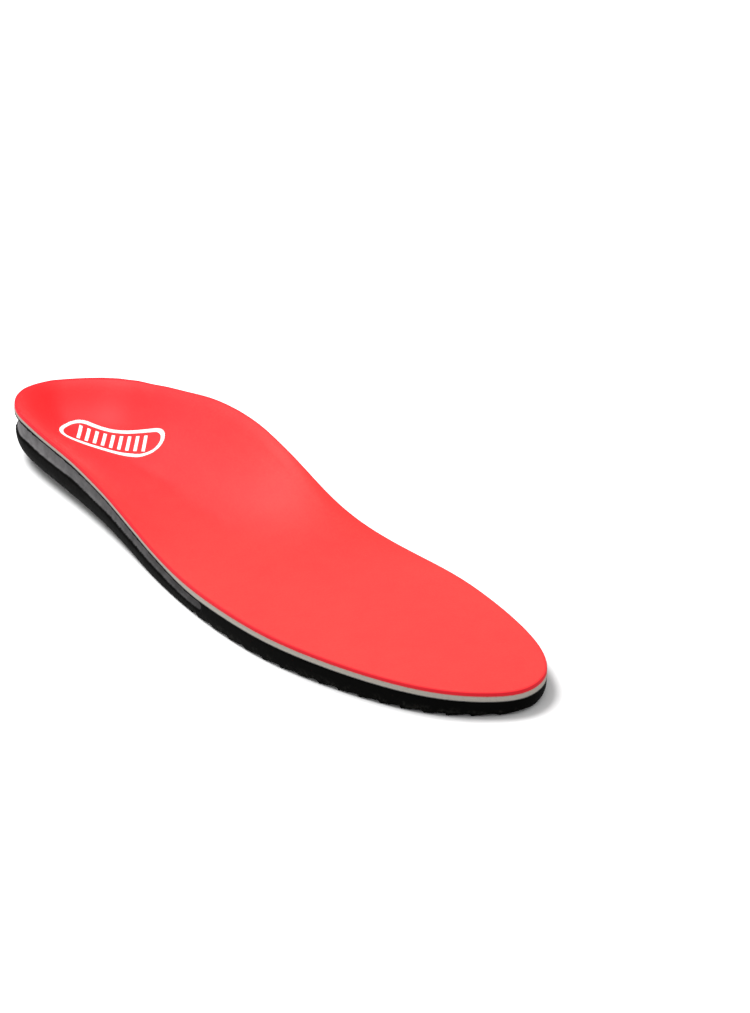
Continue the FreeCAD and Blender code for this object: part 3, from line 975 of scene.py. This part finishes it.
@dataclass
class MouldedBase:
    """Black moulded base with its side channel and ribbed border."""

    node: str = "moulded_base"
    voxel: float = 0.55 * MM
    triangles: int = 180000
    smoothing: int = 3
    pull: float = 0.5
    over: str = "foam_adhesive_web"
    channel_lip: float = 1.3 * MM
    channel_heel: float = 6.6 * MM
    channel_front: float = 2.8 * MM
    channel_start: float = 5.0 * MM
    channel_finish: float = 156.0 * MM
    channel_recess: float = 0.5 * MM
    channel_blur: float = 2.0 * MM
    channel_sheen_falloff: float = 0.62
    sheen_falloff_bend: float = 0.8
    wear: float = 0.35
    wear_height: float = 2.2 * MM
    wear_reach: float = 2.0 * MM
    steep: float = 0.8
    # The channel's lighter grey is painted sheen for the light its floor catches.
    finish: MouldedFinish = MouldedFinish(
        "base_skin", colour=(0.0012, 0.0012, 0.0010), channel_sheen_colour=(0.190, 0.184, 0.188),
        scuff_colour=(0.035, 0.034, 0.030))

    def build(self) -> bpy.types.Object:
        """Model the base from the CAD form with softened moulded edges.

        Returns:
            The base.
        """
        base = cad_copy(self.node, "base_moulding")
        remesh = base.modifiers.new("even_mesh", "REMESH")
        remesh.mode = "VOXEL"
        remesh.voxel_size = self.voxel
        bpy.ops.object.modifier_apply(modifier=remesh.name)
        smooth = base.modifiers.new("moulded_edges", "SMOOTH")
        smooth.factor = self.pull
        smooth.iterations = self.smoothing
        bpy.ops.object.modifier_apply(modifier=smooth.name)
        thin = base.modifiers.new("thin_out", "DECIMATE")
        thin.ratio = min(1.0, self.triangles / (2 * len(base.data.polygons)))
        bpy.ops.object.modifier_apply(modifier=thin.name)
        bpy.ops.object.shade_smooth()
        self._mark_channel(base)
        self._mark_edges(base)
        base.data.materials.clear()
        base.data.materials.append(self.finish.make())
        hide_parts(self.node)
        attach(base, BODY)
        return base

    def _mark_channel(self, base: bpy.types.Object) -> None:
        """Store how far inside the side channel each point lies, and how strongly the painted
        sheen shows on its floor.

        Args:
            base: The finished base.
        """
        layer = Layer(self.over)
        rim = [point for point in layer.loop(Facing.UP) if point.x < 0.0]
        layer.drop()
        tree = plan_tree(rim)
        heel_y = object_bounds()[1][1]
        length = self.channel_finish - self.channel_start
        depths, sheen_shares = [], []
        for vertex in base.data.vertices:
            along = heel_y - vertex.co.y - self.channel_start
            share = max(0.0, min(1.0, along / length))
            nearest = rim[tree.find((vertex.co.x, vertex.co.y, 0.0))[1]]
            under = nearest.z - self.channel_lip - vertex.co.z
            height = self.channel_heel + (self.channel_front - self.channel_heel) * share
            recess = (vertex.co - nearest).xy.length - self.channel_recess
            depth = min(under, height - under, recess, -vertex.co.x,
                        along + self.channel_start, length - along)
            depths.append(max(-1.0, min(1.0, depth / self.channel_blur)))
            # Painted sheen on the channel floor, strongest at the heel and fading towards the
            # toe.
            sheen_shares.append(1.0 - self.channel_sheen_falloff * share ** self.sheen_falloff_bend)
        store(base, CHANNEL, depths)
        store(base, CHANNEL_SHEEN_FADE, sheen_shares)

    def _mark_edges(self, base: bpy.types.Object) -> None:
        """Store where the low outer edge is rubbed.

        Args:
            base: The finished base.
        """
        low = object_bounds()[0][2]
        values = []
        for vertex in base.data.vertices:
            off = abs(vertex.co.z - low - self.wear_height)
            near_edge = max(0.0, 1.0 - off / self.wear_reach)
            values.append(self.wear * near_edge if abs(vertex.normal.z) < self.steep else 0.0)
        store(base, EDGE_WEAR, values)


@dataclass
class HeelMark:
    """White printed mark in the heel seat."""

    node: str = "heel_print"
    stand: float = 0.09 * MM
    sink: float = 0.06 * MM
    over: float = 0.1
    sharp: float = math.radians(40)
    finish: InkFinish = InkFinish(
        "print_ink", colour=(0.90, 0.88, 0.87), thin_colour=(0.92, 0.42, 0.40))

    def build(self, cover: bpy.types.Object) -> bpy.types.Object:
        """Lay the print on the cloth.

        Args:
            cover: The finished top cover.

        Returns:
            The print.
        """
        mark = cad_copy(self.node, "printed_mark")
        bpy.ops.object.mode_set(mode="EDIT")
        bpy.ops.mesh.select_all(action="SELECT")
        bpy.ops.mesh.subdivide(number_cuts=1)
        bpy.ops.object.mode_set(mode="OBJECT")
        cloth = BVHTree.FromObject(cover, bpy.context.evaluated_depsgraph_get())
        for vertex in mark.data.vertices:
            above = Vector((vertex.co.x, vertex.co.y, self.over))
            hit = cloth.ray_cast(above, Vector(DOWNWARD))[0]
            vertex.co.z = hit.z + (self.stand if vertex.normal.z > 0.0 else -self.sink)
        bpy.ops.object.shade_smooth_by_angle(angle=self.sharp)
        mark.data.materials.clear()
        mark.data.materials.append(self.finish.make())
        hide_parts(self.node)
        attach(mark, BODY)
        return mark


@dataclass
class HiddenLayers:
    """Webs and pads that only show when the insole is taken apart."""

    finishes: tuple[tuple[str, HiddenFinish], ...] = (
        ("cover_adhesive_web", HiddenFinish(
            "cover_web", (0.50, 0.20, 0.17), (0.42, 0.12, 0.10), 1.2 * MM, 0.6)),
        ("foam_adhesive_web", HiddenFinish(
            "foam_web", (0.10, 0.095, 0.09), (0.05, 0.048, 0.045), 1.2 * MM, 0.6)),
        ("underside_adhesive_web", HiddenFinish(
            "panel_web", (0.20, 0.05, 0.05), (0.10, 0.02, 0.02), 1.2 * MM, 0.6)),
        ("heel_shock_pad", HiddenFinish(
            "heel_gel", (0.05, 0.10, 0.30), (0.03, 0.06, 0.20), 2.5 * MM, 0.25)),
        ("forefoot_shock_pad", HiddenFinish(
            "forefoot_gel", (0.05, 0.10, 0.30), (0.03, 0.06, 0.20), 2.5 * MM, 0.25)),
    )

    def build(self) -> list[bpy.types.Object]:
        """Give the hidden CAD nodes their materials."""
        return [dress(node, finish.make()) for node, finish in self.finishes]


def dress(node: str, material: bpy.types.Material) -> bpy.types.Object:
    """Put a material on a CAD node that stays.

    Args:
        node: Name of the CAD node.
        material: Its material.

    Returns:
        The node's object.
    """
    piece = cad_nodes()[node]
    if not piece.material_slots:
        piece.data.materials.append(material)
    for slot in piece.material_slots:
        slot.material = material
    return piece


# ---------------------------------------------------------------------- studio


@dataclass
class Studio:
    """White floor, soft light from the upper left, and the camera."""

    azimuth: float = -37.31
    elevation: float = 27.0
    distance: float = 2.785
    lens: float = 271.7
    target: tuple[float, float, float] = (0.06209, 0.01671, 0.0)
    sensor: float = 36.0
    far_clip: float = 50.0
    key_energy: float = 32.0
    key_size: float = 0.8
    key_left: float = 0.70
    key_behind: float = 0.30
    key_height: float = 1.45
    ambient: float = 0.72
    floor_size: float = 12.0
    floor_gap: float = 0.02 * MM
    floor_colour: Colour = (0.86, 0.86, 0.86)
    floor_mottle: Colour = (0.8, 0.8, 0.8)
    floor_grain: float = 0.05
    floor_rough: float = 0.9

    def build(self) -> None:
        """Set up floor, world, lights and camera."""
        self._colour_management()
        self._world()
        self._floor()
        self._key()
        self._camera()

    @property
    def _right(self) -> Vector:
        """Direction to the right of the picture."""
        turn = math.radians(self.azimuth)
        return Vector((math.cos(turn), math.sin(turn), 0.0))

    @property
    def _back(self) -> Vector:
        """Direction from the target to the camera."""
        turn, rise = math.radians(self.azimuth), math.radians(self.elevation)
        return Vector((math.sin(turn) * math.cos(rise), -math.cos(turn) * math.cos(rise),
                       math.sin(rise)))

    @staticmethod
    def _colour_management() -> None:
        """Set the plain display transform, so that the reds keep their saturation."""
        view = bpy.context.scene.view_settings
        view.view_transform = "Standard"
        view.look = "None"

    def _world(self) -> None:
        """Even white surroundings."""
        world = bpy.data.worlds.new("white_room")
        world.use_nodes = True
        sky = world.node_tree.nodes["Background"].inputs
        sky["Color"].default_value = (1.0, 1.0, 1.0, 1.0)
        sky["Strength"].default_value = self.ambient
        bpy.context.scene.world = world

    def _floor(self) -> None:
        """Large pale floor under the insole."""
        bpy.ops.object.select_all(action="DESELECT")
        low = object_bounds()[0][2]
        bpy.ops.mesh.primitive_plane_add(size=self.floor_size,
                                         location=(0.0, 0.0, low - self.floor_gap))
        floor = bpy.context.active_object
        floor.name = "studio_floor"
        graph = Graph("studio_floor")
        grain = graph.noise(graph.object_place(), self.floor_grain, 2.0)
        colour = graph.blend(grain * 0.03, self.floor_colour, self.floor_mottle)
        floor.data.materials.append(graph.finish(
            Base_Color=colour, Roughness=self.floor_rough, Specular_IOR_Level=0.0))
        floor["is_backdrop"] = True

    def _key(self) -> None:
        """Large soft light from the upper left of the picture."""
        behind = -Vector((self._back.x, self._back.y, 0.0)) * self.key_behind
        away = -self._right * self.key_left + behind
        place = Vector(self.target) + away + Vector((0.0, 0.0, self.key_height))
        light = bpy.data.lights.new("soft_key", "AREA")
        light.shape = "SQUARE"
        light.size = self.key_size
        light.energy = self.key_energy
        lamp = bpy.data.objects.new("soft_key", light)
        bpy.context.collection.objects.link(lamp)
        lamp.location = place
        lamp.rotation_euler = (Vector(self.target) - place).to_track_quat("-Z", "Y").to_euler()

    def _camera(self) -> None:
        """Long lens from the toe end of the outer side."""
        data = bpy.data.cameras.new("camera")
        data.lens = self.lens
        data.sensor_width = self.sensor
        data.sensor_fit = "AUTO"
        data.clip_end = self.far_clip
        camera = bpy.data.objects.new("camera", data)
        bpy.context.collection.objects.link(camera)
        camera.location = Vector(self.target) + self._back * self.distance
        camera.rotation_euler = self._back.to_track_quat("Z", "Y").to_euler()
        bpy.context.scene.camera = camera


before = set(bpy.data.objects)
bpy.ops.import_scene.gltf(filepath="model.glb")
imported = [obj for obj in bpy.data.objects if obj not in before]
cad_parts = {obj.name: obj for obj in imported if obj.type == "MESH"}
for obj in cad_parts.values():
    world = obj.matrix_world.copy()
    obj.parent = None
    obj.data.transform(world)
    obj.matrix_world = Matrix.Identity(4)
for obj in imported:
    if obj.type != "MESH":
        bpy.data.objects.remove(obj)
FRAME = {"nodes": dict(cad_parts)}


def corners(box: tuple) -> list[list[float]]:
    """A box's two corners as plain lists of numbers."""
    return [[float(value) for value in corner] for corner in box]


def main() -> None:
    """Build the insole's pieces and the studio round them."""
    logging.basicConfig(level=logging.INFO, format="%(name)s %(message)s")
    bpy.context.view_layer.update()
    bpy.ops.object.select_all(action="DESELECT")
    Studio().build()
    cover = TopCover().build()
    pieces = [cover, HeelMark().build(cover), CushionFoam().build(), MouldedBase().build(),
              UndersidePanel().build()]
    for piece in pieces:
        LOG.info("%s: %d faces", piece.name, len(piece.data.polygons))
    for piece in HiddenLayers().build():
        LOG.info("%s dressed", piece.name)


if __name__ == "__main__":
    main()
